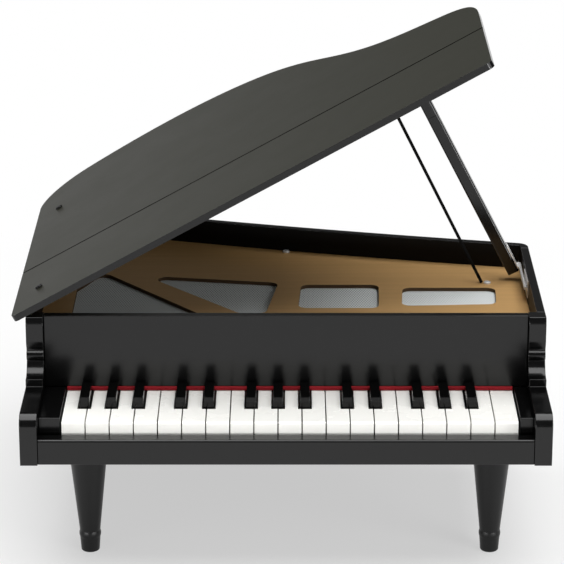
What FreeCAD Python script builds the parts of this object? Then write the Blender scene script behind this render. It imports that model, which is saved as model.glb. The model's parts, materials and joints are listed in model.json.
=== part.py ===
import FreeCAD, Part
import math
import os

from FreeCAD import Vector

# Toy grand piano with 32 keys, in millimetres, +Z up, +Y away from the player.
# Working places are measured from the arms' front face, the case's middle plane and the floor.
# On export everything is shifted so that the origin is the middle of the footprint, on the floor.

# Case
CASE_HEIGHT = 96.5
LEG_HEIGHT = 106.0
WALL = 7.0
BACK_LEFT_DEPTH = 385.0
BACK_RIGHT_DEPTH = 272.0
BENT_HOLLOW = 7.0
TAIL_CORNER_RADIUS = 22.0
BACK_CORNER_RADIUS = 10.0
CORNER_SEAM_GAP = 4.0
FLOOR_BOARD = 8.0

# Arms beside the keyboard
ARM_THICKNESS = 14.0
ARM_DEPTH = 95.0
ARM_LOW_HEIGHT = 42.2
ARM_FRONT_RADIUS = 11.0
ARM_TOP_LEDGE = 13.0
ARM_NOSE_Y = 79.8
ARM_NOSE_HEIGHT = 88.5
ARM_THROAT_HEIGHT = 79.0
ARM_NECK_Y = 81.8
ARM_NECK_HEIGHT = 69.0
ARM_BEAD_RADIUS = 4.2
ARM_BEAD_HEIGHT = 63.2
ARM_BEAD_PROUD = 2.4
ARM_STEP_Y = 65.5
ARM_STEP = 6.3

# Front rail and key blocks
RAIL_SETBACK = 2.2
RAIL_THICKNESS = 12.0
RAIL_HEIGHT = 21.0
RAIL_EDGE_RADIUS = 2.0
BLOCK_PROUD = 3.5
BLOCK_BACK_GAP = 0.3
LEFT_BLOCK_WIDTH = 17.2
RIGHT_BLOCK_WIDTH = 10.74

# Keys
WHITE_COUNT = 19
KEY_PITCH = 19.34
KEY_GAP = 1.0
TAIL_GAP = 1.0
KEY_RAIL_CLEARANCE = 3.3
KEY_THICKNESS = 14.5
KEY_LIFT = 8.0
KEY_HEAD_LENGTH = 28.6
KEY_VISIBLE_LENGTH = 69.5
KEY_SIDE_GAP = 0.8
KEY_EDGE_RADIUS = 1.8
SHARP_HEIGHT = 8.5
SHARP_BASE_WIDTH = 9.2
SHARP_FOOT_WIDTH = 8.6
SHARP_TOP_WIDTH = 7.8
SHARP_FRONT_SLOPE = 1.2
SHARP_FRONT_GAP = 2.4
SHARP_BACK_GAP = 3.0
KEY_DIP_ANGLE = 3.2

# Key pivots, stops and hammers
PIVOT_Y = 118.0
PIVOT_ABOVE_KEY_BOTTOM = 8.0
PIVOT_ROD = 3.0
PIVOT_CLEARANCE = 0.2
KEY_RAIL_WIDTH = 18.0
KEY_RAIL_GAP = 3.0
POST_WIDTH = 8.0
POST_CAP = 5.0
STRIKE_Y = 213.0
TAIL_OVERHANG = 5.0
HAMMER_RADIUS = 3.2
STRIKE_GAP = 0.4
FELT = 2.0
FELT_WIDTH = 12.0
REST_GAP = 0.3
STOP_Y = 28.0
REST_Y = 195.0

# Fallboard and its felt
FALLBOARD_THICKNESS = 8.0
FALLBOARD_KEY_GAP = 3.6
FALLBOARD_TOP_GAP = 0.6
NAME_FELT_DEPTH = 5.0
NAME_FELT_PROUD = 1.2
NAME_FELT_KEY_GAP = 0.4

# Frame plate, net, battens and pipes
WELL_DEPTH = 21.0
PLATE_THICKNESS = 3.0
PLATE_GAP = 0.3
WINDOW_RADIUS = 7.5
NET_THICKNESS = 0.6
NET_MARGIN = 6.0
BATTEN = 8.0
PIPE_OUTER = 6.0
PIPE_WALL = 0.8
PIPE_DROP = 19.0
PIPE_RAIL_WIDTH = 8.0
PIPE_RAIL_HEIGHT = 6.0
LOWEST_NOTE_HZ = 698.46
ALUMINIUM_BAR_SPEED = 5050.0

# Screws
SCREW_HEAD_RADIUS = 3.2
SCREW_HEAD_HEIGHT = 1.6
SCREW_SHANK_RADIUS = 1.5

# Legs
LEG_FRONT_Y = 72.0
LEG_SPREAD = 333.0
LEG_REAR_X = -70.0
LEG_REAR_INSET = 15.0
LEG_TOP_RADIUS = 17.5
LEG_ANKLE_RADIUS = 8.5
LEG_RING_RADIUS = 9.1
LEG_RING_HEIGHT = 6.0
LEG_FOOT_HEIGHT = 12.5
LEG_FOOT_RADIUS = 7.7
LEG_FOOT_ROUND = 1.6

# Lid
LID_THICKNESS = 5.5
LID_GAP = 0.3
LID_OPEN_ANGLE = 29.1
LID_LEFT_OVERHANG = 10.5
LID_RIGHT_OVERHANG = 7.3
LID_FRONT_Y = 82.0
LID_LEFT_EDGE_END = 372.0
LID_RIGHT_EDGE_END = 243.0
LID_GROOVE_BACK = 108.0
LID_GROOVE_WIDTH = 2.4
LID_GROOVE_DEPTH = 1.1
LID_FRONT_CORNER_RADIUS = 5.0

# Lid hinges
FRONT_HINGE_FROM_ARM = 23.0
REAR_HINGE_FROM_CORNER = 17.0
HINGE_LENGTH = 30.0
HINGE_BARREL = 2.0
HINGE_PIN = 0.9
HINGE_PIN_CLEARANCE = 0.1
HINGE_LEAF = 0.8
HINGE_KNUCKLE_GAP = 0.4
HINGE_NOTCH_GAP = 0.3
HINGE_LEAF_WIDTH = 6.0
LID_SCREW_INSET = 22.5

# Prop and its hinge
PROP_THICKNESS = 10.0
PROP_WIDTH = 12.0
PROP_TIP_GAP = 0.5
PROP_Y = 236.0
PROP_HEEL = 2.2
PROP_LEAN = 27.4
PROP_EDGE_RADIUS = 1.5
PROP_AXIS_DROP = 8.0
PROP_AXIS_FROM_WALL = 2.4
PROP_BARREL = 1.4
PROP_LEAF_GAP = 0.2
PROP_KNUCKLE_BACK = 4.0
PROP_KNUCKLE_LENGTH = 30.1
WALL_KNUCKLE_LENGTH = 33.5
PROP_LEAF_HEIGHT = 22.0
PROP_WALL_LEAF_DOWN = 9.0
PROP_WALL_LEAF_UP = 6.0

# Cord between plate and lid
CORD_RADIUS = 1.4
CORD_SCREW = (174.3, 226.0)
CORD_BESIDE_SCREW = 4.9
CORD_LEAN = 26.6
CORD_END_GAP = 0.3

# Levels and faces that follow from the sizes above
CASE_BOTTOM = LEG_HEIGHT
RIM_TOP = CASE_BOTTOM + CASE_HEIGHT
KEY_ROW_WIDTH = WHITE_COUNT * KEY_PITCH
CASE_WIDTH = KEY_ROW_WIDTH + 2 * KEY_SIDE_GAP + LEFT_BLOCK_WIDTH + RIGHT_BLOCK_WIDTH + 2 * ARM_THICKNESS
HALF = CASE_WIDTH / 2
WALL_INNER = HALF - WALL
ARM_INNER = HALF - ARM_THICKNESS
FLOOR_TOP = CASE_BOTTOM + FLOOR_BOARD
RAIL_BACK = RAIL_SETBACK + RAIL_THICKNESS
KEY_BOTTOM = FLOOR_TOP + KEY_LIFT
KEY_TOP = KEY_BOTTOM + KEY_THICKNESS
KEY_FRONT = RAIL_BACK + KEY_RAIL_CLEARANCE
KEY_HEAD_BACK = KEY_FRONT + KEY_HEAD_LENGTH
KEYS_LEFT = -ARM_INNER + LEFT_BLOCK_WIDTH + KEY_SIDE_GAP
KEYS_RIGHT = KEYS_LEFT + KEY_ROW_WIDTH
KEY_ROW_MIDDLE = (KEYS_LEFT + KEYS_RIGHT) / 2
KEY_BACK = STRIKE_Y + TAIL_OVERHANG
PIVOT_Z = KEY_BOTTOM + PIVOT_ABOVE_KEY_BOTTOM
BLOCK_TOP = KEY_TOP + BLOCK_PROUD
FALLBOARD_LOW = KEY_TOP + FALLBOARD_KEY_GAP
FALLBOARD_FRONT = KEY_FRONT + KEY_VISIBLE_LENGTH
BLOCK_BACK = FALLBOARD_FRONT - BLOCK_BACK_GAP
FALLBOARD_TOP = RIM_TOP - FALLBOARD_TOP_GAP
PLATE_TOP = RIM_TOP - WELL_DEPTH
PLATE_BOTTOM = PLATE_TOP - PLATE_THICKNESS
PIPE_Z = PLATE_BOTTOM - PIPE_DROP
HINGE_X = -HALF
HINGE_Z = RIM_TOP + LID_GAP / 2
LID_BOTTOM = RIM_TOP + LID_GAP
LID_LEFT = -HALF - LID_LEFT_OVERHANG
LID_RIGHT = HALF + LID_RIGHT_OVERHANG
PROP_X = WALL_INNER - PROP_AXIS_FROM_WALL
PROP_Z = RIM_TOP - PROP_AXIS_DROP
PROP_HINGE_BACK = PROP_Y + PROP_KNUCKLE_BACK
PROP_HINGE_SPLIT = PROP_HINGE_BACK - PROP_KNUCKLE_LENGTH - HINGE_KNUCKLE_GAP
PROP_HINGE_FRONT = PROP_HINGE_SPLIT - WALL_KNUCKLE_LENGTH
FALLBOARD_BACK = FALLBOARD_FRONT + FALLBOARD_THICKNESS
PLATE_FRONT = max(FALLBOARD_BACK, ARM_DEPTH) + PLATE_GAP


def circle_through(p, q, r):
    ax, ay = q[0] - p[0], q[1] - p[1]
    bx, by = r[0] - p[0], r[1] - p[1]
    d = 2 * (ax * by - ay * bx)
    ux = (by * (ax * ax + ay * ay) - ay * (bx * bx + by * by)) / d
    uy = (ax * (bx * bx + by * by) - bx * (ax * ax + ay * ay)) / d
    return p[0] + ux, p[1] + uy, math.hypot(ux, uy)


# The bent side is an arc whose middle lies behind the case
BACK_MIDDLE_DEPTH = (BACK_LEFT_DEPTH + BACK_RIGHT_DEPTH) / 2 - BENT_HOLLOW
BENT_X, BENT_Y, BENT_RADIUS = circle_through(
    (-HALF, BACK_LEFT_DEPTH), (0.0, BACK_MIDDLE_DEPTH), (HALF, BACK_RIGHT_DEPTH))


def back_outer(x, inset=0.0):
    return BENT_Y - math.sqrt((BENT_RADIUS + inset) ** 2 - (x - BENT_X) ** 2)


def back_inner(x):
    return back_outer(x, WALL)


# A rounded corner starts this far along the side, from the angle between side and bent side
LEFT_CORNER_ANGLE = math.pi / 2 - math.asin((HALF + BENT_X) / BENT_RADIUS)
RIGHT_CORNER_ANGLE = math.pi / 2 + math.asin((BENT_X - HALF) / BENT_RADIUS)
LEFT_PANEL_END = BACK_LEFT_DEPTH - TAIL_CORNER_RADIUS / math.tan(LEFT_CORNER_ANGLE / 2) - CORNER_SEAM_GAP
RIGHT_PANEL_END = BACK_RIGHT_DEPTH - BACK_CORNER_RADIUS / math.tan(RIGHT_CORNER_ANGLE / 2) - CORNER_SEAM_GAP
HINGE_YS = (ARM_DEPTH + FRONT_HINGE_FROM_ARM, LEFT_PANEL_END - REAR_HINGE_FROM_CORNER)


# The lid's curved back edge, from the end of its left side round the tail to its right side
LID_BACK_PLACES = (
    (LID_LEFT, LID_LEFT_EDGE_END), (-220.2, 386.4), (-209.2, 406.9), (-193.3, 421.0), (-163.8, 431.4),
    (-121.2, 438.3), (-88.0, 440.0), (-56.9, 437.9), (-14.2, 428.2), (28.1, 407.2), (58.0, 381.0),
    (89.2, 346.5), (118.0, 321.5), (147.9, 306.1), (184.0, 294.6), (203.0, 286.3), (212.6, 276.6),
    (217.4, 265.0), (219.4, 254.0), (LID_RIGHT, LID_RIGHT_EDGE_END))


def lid_back_edge(z):
    curve = Part.BSplineCurve()
    curve.interpolate([Vector(x, y, z) for x, y in LID_BACK_PLACES])
    return curve


# The lid turns about its hinge pins; open, its left overhang and its tail set the footprint
LID_TAIL_Y = max(point.y for point in lid_back_edge(0.0).discretize(2000))
OPEN = math.radians(LID_OPEN_ANGLE)
LID_TOP_ABOVE_AXIS = LID_BOTTOM + LID_THICKNESS - HINGE_Z
FOOTPRINT_LEFT = (HINGE_X + (LID_LEFT - HINGE_X) * math.cos(OPEN)
                  - LID_TOP_ABOVE_AXIS * math.sin(OPEN))
ORIGIN = Vector((FOOTPRINT_LEFT + HALF) / 2, LID_TAIL_Y / 2, 0)


def box(x0, x1, y0, y1, z0, z1):
    return Part.makeBox(x1 - x0, y1 - y0, z1 - z0, Vector(x0, y0, z0))


def plan(points, z0, z1):
    corners = [Vector(x, y, z0) for x, y in points]
    face = Part.Face(Part.makePolygon(corners + corners[:1]))
    return face.extrude(Vector(0, 0, z1 - z0))


def rod_x(x0, x1, y, z, radius):
    return Part.makeCylinder(radius, x1 - x0, Vector(x0, y, z), Vector(1, 0, 0))


def rod_y(y0, y1, x, z, radius):
    return Part.makeCylinder(radius, y1 - y0, Vector(x, y0, z), Vector(0, 1, 0))


def rounded(points, radius, z0, z1):
    solid = plan(points, z0, z1)
    upright = [e for e in solid.Edges if abs(e.tangentAt(e.FirstParameter).z) > 0.99]
    return solid.makeFillet(radius, upright)


def opened(shape):
    shape.rotate(Vector(HINGE_X, 0, HINGE_Z), Vector(0, 1, 0), -LID_OPEN_ANGLE)
    return shape


def leaned(shape):
    shape.rotate(Vector(PROP_X, 0, PROP_Z), Vector(0, 1, 0), -PROP_LEAN)
    return shape


# Case boards

def arm(x0, x1):
    base = CASE_BOTTOM
    top_front = ARM_DEPTH - ARM_TOP_LEDGE
    bead_top = base + ARM_BEAD_HEIGHT + ARM_BEAD_RADIUS
    bead_low = base + ARM_BEAD_HEIGHT - ARM_BEAD_RADIUS
    low = base + ARM_LOW_HEIGHT
    nose = base + ARM_NOSE_HEIGHT
    throat = base + ARM_THROAT_HEIGHT
    neck = base + ARM_NECK_HEIGHT
    step = low + ARM_STEP
    bulge = math.sqrt(0.5)
    nose_back, nose_rise = top_front - ARM_NOSE_Y, RIM_TOP - nose
    nose_radius = (nose_back ** 2 + nose_rise ** 2) / (2 * nose_back)
    nose_half = math.asin(nose_rise / nose_radius) / 2

    def at(y, z):
        return Vector(x0, y, z)

    front_mid = at(ARM_FRONT_RADIUS * (1 - bulge), low - ARM_FRONT_RADIUS * (1 - bulge))
    nose_mid = at(ARM_NOSE_Y + nose_radius * (1 - math.cos(nose_half)),
                  nose + nose_radius * math.sin(nose_half))
    throat_mid = at(ARM_NOSE_Y + (ARM_NECK_Y - ARM_NOSE_Y) * (1 - bulge), throat - (throat - neck) * bulge)
    bead_mid = at(ARM_NECK_Y - ARM_BEAD_PROUD, base + ARM_BEAD_HEIGHT)
    cove_mid = at(ARM_NECK_Y - (ARM_NECK_Y - ARM_STEP_Y) * (1 - bulge), bead_low - (bead_low - step) * bulge)
    edges = [
        Part.LineSegment(at(ARM_DEPTH, base), at(0, base)),
        Part.LineSegment(at(0, base), at(0, low - ARM_FRONT_RADIUS)),
        Part.Arc(at(0, low - ARM_FRONT_RADIUS), front_mid, at(ARM_FRONT_RADIUS, low)),
        Part.LineSegment(at(ARM_FRONT_RADIUS, low), at(ARM_STEP_Y, low)),
        Part.LineSegment(at(ARM_STEP_Y, low), at(ARM_STEP_Y, step)),
        Part.Arc(at(ARM_STEP_Y, step), cove_mid, at(ARM_NECK_Y, bead_low)),
        Part.Arc(at(ARM_NECK_Y, bead_low), bead_mid, at(ARM_NECK_Y, bead_top)),
        Part.LineSegment(at(ARM_NECK_Y, bead_top), at(ARM_NECK_Y, neck)),
        Part.Arc(at(ARM_NECK_Y, neck), throat_mid, at(ARM_NOSE_Y, throat)),
        Part.LineSegment(at(ARM_NOSE_Y, throat), at(ARM_NOSE_Y, nose)),
        Part.Arc(at(ARM_NOSE_Y, nose), nose_mid, at(top_front, RIM_TOP)),
        Part.LineSegment(at(top_front, RIM_TOP), at(ARM_DEPTH, RIM_TOP)),
        Part.LineSegment(at(ARM_DEPTH, RIM_TOP), at(ARM_DEPTH, base)),
    ]
    face = Part.Face(Part.Wire([e.toShape() for e in edges]))
    return face.extrude(Vector(x1 - x0, 0, 0))


def case_outline(inset, y0, z0, z1):
    x = HALF - inset
    corners = [Vector(place, back_outer(place, inset), z0) for place in (-x, 0.0, x)]
    edges = [
        Part.LineSegment(Vector(-x, y0, z0), Vector(x, y0, z0)),
        Part.LineSegment(Vector(x, y0, z0), corners[2]),
        Part.Arc(corners[2], corners[1], corners[0]),
        Part.LineSegment(corners[0], Vector(-x, y0, z0)),
    ]
    solid = Part.Face(Part.Wire([e.toShape() for e in edges])).extrude(Vector(0, 0, z1 - z0))
    rounds = ((corners[0], TAIL_CORNER_RADIUS - inset), (corners[2], BACK_CORNER_RADIUS - inset))
    for corner, radius in rounds:
        if radius > 0:
            upright = [e for e in solid.Edges
                       if all(math.hypot(v.X - corner.x, v.Y - corner.y) < 1e-4 for v in e.Vertexes)]
            solid = solid.makeFillet(radius, upright)
    return solid


def rim():
    inside = case_outline(WALL, ARM_DEPTH, CASE_BOTTOM, RIM_TOP)
    return case_outline(0.0, ARM_DEPTH, CASE_BOTTOM, RIM_TOP).cut(inside)


def left_board_space():
    return box(-HALF, -WALL_INNER, ARM_DEPTH - 1, LEFT_PANEL_END, CASE_BOTTOM - 1, RIM_TOP + 1)


def right_board_space():
    return box(WALL_INNER, HALF, ARM_DEPTH - 1, RIGHT_PANEL_END, CASE_BOTTOM - 1, RIM_TOP + 1)


def hinge_pocket(shape, z0, z1):
    for y in HINGE_YS:
        y0, y1 = y - HINGE_LENGTH / 2, y + HINGE_LENGTH / 2
        shape = shape.cut(box(-HALF, -HALF + HINGE_LEAF_WIDTH, y0, y1, z0, z1))
        notch = HINGE_BARREL + HINGE_NOTCH_GAP
        shape = shape.cut(rod_y(y0 - HINGE_KNUCKLE_GAP, y1 + HINGE_KNUCKLE_GAP, HINGE_X, HINGE_Z, notch))
    return shape


def left_side_panel():
    return hinge_pocket(rim().common(left_board_space()), RIM_TOP - HINGE_LEAF, RIM_TOP)


def right_side_panel():
    return rim().common(right_board_space())


def bent_side_panel():
    return rim().cut(left_board_space()).cut(right_board_space())


def bottom_board():
    front = box(-ARM_INNER, ARM_INNER, RAIL_BACK, ARM_DEPTH, CASE_BOTTOM, FLOOR_TOP)
    return front.fuse(case_outline(WALL, ARM_DEPTH, CASE_BOTTOM, FLOOR_TOP)).removeSplitter()


def front_rail():
    board = box(-ARM_INNER, ARM_INNER, RAIL_SETBACK, RAIL_BACK, CASE_BOTTOM, CASE_BOTTOM + RAIL_HEIGHT)
    top_front = [e for e in board.Edges
                 if all(abs(v.Y - RAIL_SETBACK) < 1e-6 and v.Z > CASE_BOTTOM + 1 for v in e.Vertexes)]
    return board.makeFillet(RAIL_EDGE_RADIUS, [e for e in top_front if e.Length > ARM_INNER])


def key_blocks():
    left = box(-ARM_INNER, KEYS_LEFT - KEY_SIDE_GAP, KEY_FRONT, BLOCK_BACK, FLOOR_TOP, BLOCK_TOP)
    right = box(KEYS_RIGHT + KEY_SIDE_GAP, ARM_INNER, KEY_FRONT, BLOCK_BACK, FLOOR_TOP, BLOCK_TOP)
    return Part.makeCompound([left, right])


def fallboard():
    return box(-ARM_INNER, ARM_INNER, FALLBOARD_FRONT, FALLBOARD_BACK, FALLBOARD_LOW, FALLBOARD_TOP)


def felt_strip():
    y0 = FALLBOARD_FRONT - NAME_FELT_PROUD
    return box(KEYS_LEFT, KEYS_RIGHT, y0, y0 + NAME_FELT_DEPTH, KEY_TOP + NAME_FELT_KEY_GAP, FALLBOARD_LOW)


def leg(x, y):
    ring_top = LEG_FOOT_HEIGHT + LEG_RING_HEIGHT
    ring_mid = LEG_FOOT_HEIGHT + LEG_RING_HEIGHT / 2

    def at(radius, z):
        return Vector(x + radius, y, z)

    bulge = math.sqrt(0.5)
    foot_mid = at(LEG_FOOT_RADIUS - LEG_FOOT_ROUND * (1 - bulge), LEG_FOOT_ROUND * (1 - bulge))
    edges = [
        Part.LineSegment(at(0, 0), at(LEG_FOOT_RADIUS - LEG_FOOT_ROUND, 0)),
        Part.Arc(at(LEG_FOOT_RADIUS - LEG_FOOT_ROUND, 0), foot_mid, at(LEG_FOOT_RADIUS, LEG_FOOT_ROUND)),
        Part.LineSegment(at(LEG_FOOT_RADIUS, LEG_FOOT_ROUND), at(LEG_ANKLE_RADIUS, LEG_FOOT_HEIGHT)),
        Part.Arc(at(LEG_ANKLE_RADIUS, LEG_FOOT_HEIGHT), at(LEG_RING_RADIUS, ring_mid),
                 at(LEG_ANKLE_RADIUS, ring_top)),
        Part.LineSegment(at(LEG_ANKLE_RADIUS, ring_top), at(LEG_TOP_RADIUS, LEG_HEIGHT)),
        Part.LineSegment(at(LEG_TOP_RADIUS, LEG_HEIGHT), at(0, LEG_HEIGHT)),
        Part.LineSegment(at(0, LEG_HEIGHT), at(0, 0)),
    ]
    face = Part.Face(Part.Wire([e.toShape() for e in edges]))
    return face.revolve(Vector(x, y, 0), Vector(0, 0, 1), 360)


def legs():
    reach = LEG_SPREAD / 2
    rear = (LEG_REAR_X, back_inner(LEG_REAR_X) - LEG_REAR_INSET)
    places = [(KEY_ROW_MIDDLE - reach, LEG_FRONT_Y), (KEY_ROW_MIDDLE + reach, LEG_FRONT_Y), rear]
    return Part.makeCompound([leg(x, y) for x, y in places])


# Keys: black tails are as wide as their sharps, white tails share the rest, heads are one pitch wide

OCTAVE_GROUPS = (("F", "F#", "G", "G#", "A", "A#", "B"), ("C", "C#", "D", "D#", "E"))


def key_layout():
    keys = []
    white = 0
    group = 0
    while white < WHITE_COUNT:
        names = OCTAVE_GROUPS[group % 2]
        whites = [n for n in names if "#" not in n]
        start = KEYS_LEFT + white * KEY_PITCH
        if white + len(whites) > WHITE_COUNT:
            span = (start, start + KEY_PITCH)
            keys.append({"white": True, "head": span, "slot": span})
            break
        black_slot = SHARP_BASE_WIDTH + TAIL_GAP
        white_slot = KEY_PITCH - (len(names) - len(whites)) * black_slot / len(whites)
        heads = 0
        left = start
        for name in names:
            width = black_slot if "#" in name else white_slot
            key = {"white": "#" not in name, "slot": (left, left + width)}
            left += width
            if key["white"]:
                key["head"] = (start + heads * KEY_PITCH, start + (heads + 1) * KEY_PITCH)
                heads += 1
            keys.append(key)
        white += len(whites)
        group += 1
    return keys


def hammer(key):
    x = sum(key["slot"]) / 2
    rise = math.sin(math.radians(KEY_DIP_ANGLE)) * (STRIKE_Y + HAMMER_RADIUS - PIVOT_Y)
    top = PIPE_Z - PIPE_OUTER / 2 - rise - STRIKE_GAP
    return Part.makeCylinder(HAMMER_RADIUS, top - KEY_TOP, Vector(x, STRIKE_Y, KEY_TOP))


def key_body(key):
    x0, x1 = key["slot"]
    front = KEY_HEAD_BACK if key["white"] else KEY_HEAD_BACK + SHARP_FRONT_GAP
    body = box(x0 + TAIL_GAP / 2, x1 - TAIL_GAP / 2, front, KEY_BACK, KEY_BOTTOM, KEY_TOP)
    if key["white"]:
        h0, h1 = key["head"]
        head = box(h0 + KEY_GAP / 2, h1 - KEY_GAP / 2, KEY_FRONT, KEY_HEAD_BACK, KEY_BOTTOM, KEY_TOP)
        lip = [e for e in head.Edges
               if all(abs(v.Y - KEY_FRONT) < 1e-6 and abs(v.Z - KEY_TOP) < 1e-6 for v in e.Vertexes)]
        body = head.makeFillet(KEY_EDGE_RADIUS, lip).fuse(body).removeSplitter()
    else:
        middle = (x0 + x1) / 2
        back = FALLBOARD_FRONT - SHARP_BACK_GAP

        def ring(width, y0, z):
            half = width / 2
            return Part.makePolygon([Vector(middle - half, y0, z), Vector(middle + half, y0, z),
                                     Vector(middle + half, back, z), Vector(middle - half, back, z),
                                     Vector(middle - half, y0, z)])

        foot = ring(SHARP_FOOT_WIDTH, front, KEY_TOP)
        crown = ring(SHARP_TOP_WIDTH, front + SHARP_FRONT_SLOPE, KEY_TOP + SHARP_HEIGHT)
        sharp = Part.makeLoft([foot, crown], True, True)
        body = body.fuse(sharp).removeSplitter()
    return body.cut(rod_x(x0, x1, PIVOT_Y, PIVOT_Z, PIVOT_ROD / 2 + PIVOT_CLEARANCE))


def key_rails():
    bar = box(-ARM_INNER, ARM_INNER, PIVOT_Y - KEY_RAIL_WIDTH / 2, PIVOT_Y + KEY_RAIL_WIDTH / 2,
              FLOOR_TOP, KEY_BOTTOM - KEY_RAIL_GAP)
    for x0 in (KEYS_LEFT - KEY_SIDE_GAP - POST_WIDTH, KEYS_RIGHT + KEY_SIDE_GAP):
        post = box(x0, x0 + POST_WIDTH, PIVOT_Y - KEY_RAIL_WIDTH / 2, PIVOT_Y + KEY_RAIL_WIDTH / 2,
                   KEY_BOTTOM - KEY_RAIL_GAP, PIVOT_Z + POST_CAP)
        bar = bar.fuse(post)
    bar = bar.removeSplitter().cut(rod_x(-HALF, HALF, PIVOT_Y, PIVOT_Z, PIVOT_ROD / 2))
    rest = box(KEYS_LEFT, KEYS_RIGHT, REST_Y - FELT_WIDTH / 2, REST_Y + FELT_WIDTH / 2,
               FLOOR_TOP, KEY_BOTTOM - REST_GAP - FELT)
    return Part.makeCompound([bar, rest])


def stop_felt_top():
    reach = PIVOT_Y - (STOP_Y - FELT_WIDTH / 2)
    return KEY_BOTTOM - reach * math.sin(math.radians(KEY_DIP_ANGLE)) - REST_GAP


def key_felts():
    stop = box(KEYS_LEFT, KEYS_RIGHT, STOP_Y - FELT_WIDTH / 2, STOP_Y + FELT_WIDTH / 2,
               FLOOR_TOP, stop_felt_top())
    rest = box(KEYS_LEFT, KEYS_RIGHT, REST_Y - FELT_WIDTH / 2, REST_Y + FELT_WIDTH / 2,
               KEY_BOTTOM - REST_GAP - FELT, KEY_BOTTOM - REST_GAP)
    return Part.makeCompound([stop, rest])


def key_pivot_rod():
    beyond = KEY_SIDE_GAP + POST_WIDTH
    return rod_x(KEYS_LEFT - beyond, KEYS_RIGHT + beyond, PIVOT_Y, PIVOT_Z, PIVOT_ROD / 2)


# Frame plate, net, battens, pipes and screws

WINDOWS = (
    ((-180.0, 138.0), (-180.0, 211.0), (-160.5, 256.0), (-65.0, 138.0)),
    ((-123.0, 245.5), (-6.5, 227.0), (-17.0, 150.0), (-39.5, 150.0)),
    ((10.2, 162.6), (78.6, 162.6), (80.2, 221.7), (13.0, 221.7)),
    ((98.0, 168.0), (178.5, 172.6), (180.5, 214.0), (100.5, 214.0)),
)


def back_screw_place():
    return (0.0, back_inner(0.0) - BATTEN / 2)


def frame_plate():
    sheet = case_outline(WALL + PLATE_GAP, PLATE_FRONT, PLATE_BOTTOM, PLATE_TOP)
    for window in WINDOWS:
        sheet = sheet.cut(rounded(window, WINDOW_RADIUS, PLATE_BOTTOM, PLATE_TOP))
    for place in (CORD_SCREW, back_screw_place()):
        hole = Part.makeCylinder(SCREW_SHANK_RADIUS, PLATE_THICKNESS, Vector(*place, PLATE_BOTTOM))
        sheet = sheet.cut(hole)
    return sheet


def plate_screws():
    screws = []
    for place in (CORD_SCREW, back_screw_place()):
        head = Part.makeCylinder(SCREW_HEAD_RADIUS, SCREW_HEAD_HEIGHT, Vector(*place, PLATE_TOP))
        crown = PLATE_TOP + SCREW_HEAD_HEIGHT
        rim = [e for e in head.Edges if e.Closed and abs(e.Vertexes[0].Z - crown) < 1e-6]
        shank = Part.makeCylinder(SCREW_SHANK_RADIUS, PLATE_THICKNESS, Vector(*place, PLATE_BOTTOM))
        screws.append(head.makeFillet(SCREW_HEAD_HEIGHT * 0.6, rim).fuse(shank).removeSplitter())
    return Part.makeCompound(screws)


def speaker_net():
    xs = [x for window in WINDOWS for x, _ in window]
    ys = [y for window in WINDOWS for _, y in window]
    return box(min(xs) - NET_MARGIN, max(xs) + NET_MARGIN, min(ys) - NET_MARGIN, max(ys) + NET_MARGIN,
               PLATE_BOTTOM - NET_THICKNESS, PLATE_BOTTOM)


def pipe_layout():
    gyration = math.hypot(PIPE_OUTER, PIPE_OUTER - 2 * PIPE_WALL) / 4
    root_speed = 3.5608 * ALUMINIUM_BAR_SPEED * gyration * 1000
    pipes = []
    for number, key in enumerate(key_layout()):
        pitch = LOWEST_NOTE_HZ * 2 ** (number / 12)
        pipes.append((sum(key["slot"]) / 2, math.sqrt(root_speed / pitch)))
    return pipes


def tone_pipes():
    tubes = []
    for x, length in pipe_layout():
        near, far = STRIKE_Y - length / 2, STRIKE_Y + length / 2
        outer = rod_y(near, far, x, PIPE_Z, PIPE_OUTER / 2)
        tubes.append(outer.cut(rod_y(near, far, x, PIPE_Z, PIPE_OUTER / 2 - PIPE_WALL)))
    return Part.makeCompound(tubes)


# A free pipe is held at its two still points, about 0.276 of its length from the middle
STILL_POINT = 0.276


def inner_battens():
    pieces = []
    pipes = pipe_layout()
    top = PIPE_Z - PIPE_OUTER / 2
    (xa, la), (xb, lb) = pipes[0], pipes[-1]
    slope = (lb - la) / (xb - xa) * STILL_POINT
    for side in (-1, 1):
        def middle(x):
            return STRIKE_Y + side * (la * STILL_POINT + (x - xa) * slope)
        x = WALL_INNER
        w = PIPE_RAIL_WIDTH / 2
        corners = [(-x, middle(-x) - w), (x, middle(x) - w), (x, middle(x) + w), (-x, middle(-x) + w)]
        pieces.append(plan(corners, top - PIPE_RAIL_HEIGHT, top))
    low, high = PLATE_BOTTOM - BATTEN, PLATE_BOTTOM
    shelf = case_outline(WALL, PLATE_FRONT, low, high)
    shelf = shelf.cut(case_outline(WALL + BATTEN, PLATE_FRONT - 1, low, high))
    pieces.append(shelf.cut(Part.makeCylinder(SCREW_SHANK_RADIUS, BATTEN, Vector(*back_screw_place(), low))))
    return Part.makeCompound(pieces)


# Lid, drawn closed and then swung open about its hinge pins

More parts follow.
